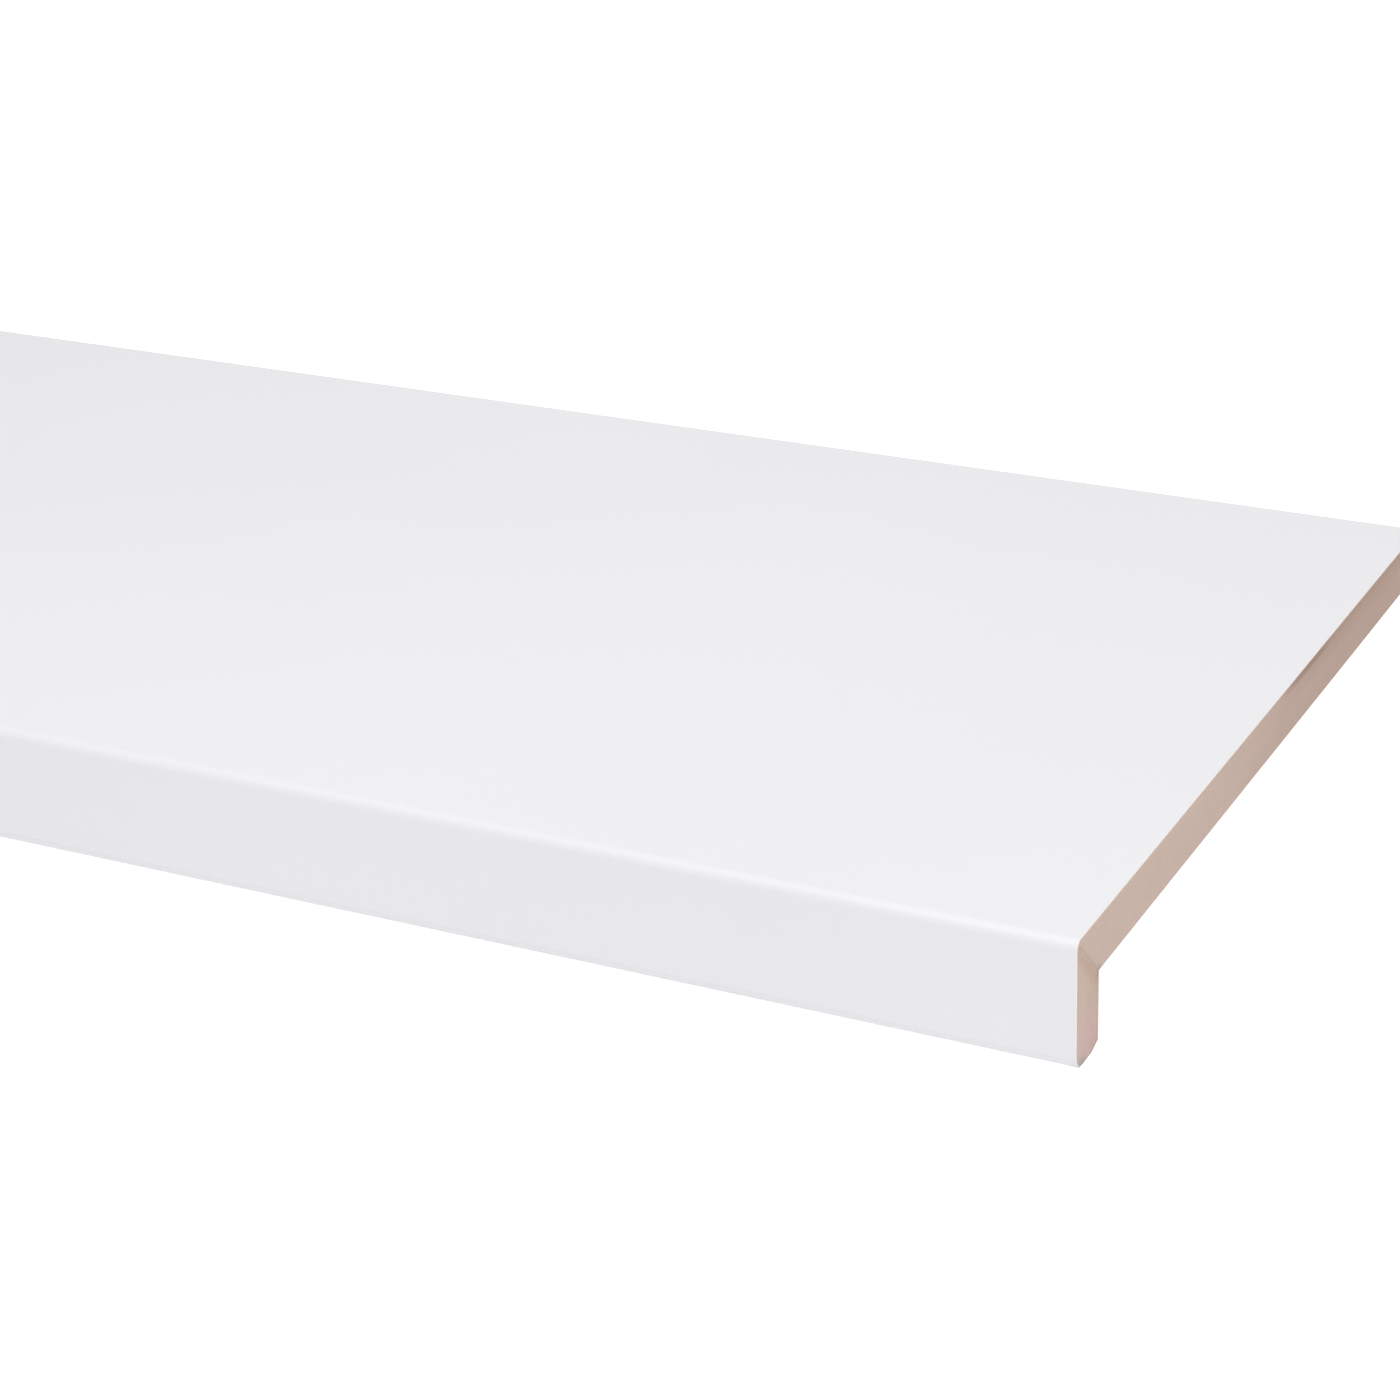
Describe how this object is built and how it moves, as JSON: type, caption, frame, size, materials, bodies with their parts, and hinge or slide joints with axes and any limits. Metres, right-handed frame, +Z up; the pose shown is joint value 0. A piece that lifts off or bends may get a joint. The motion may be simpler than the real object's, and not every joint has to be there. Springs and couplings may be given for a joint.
{
  "type": "window sill board",
  "caption": "Flat window sill board with a mitred drop apron along its front, a white facing over top, rounded nose and front, and bare fibreboard ends, back edge and underside.",
  "frame": {"origin": "on the floor below the middle of the board: bottom centre of the bounding box", "axes": "+X along the board to the right seen from the front, +Y from the apron to the back edge, +Z up through the thickness"},
  "size_m": [1, 0.3, 0.038],
  "materials": {
    "fibreboard": "bare medium density fibreboard, sawn at the ends and sanded on the faces",
    "white_facing": "satin white laminate film"
  },
  "bodies": {
    "root": {"sill_board": "fibreboard", "front_apron": "fibreboard", "white_facing": "white_facing"}
  },
  "joints": []
}
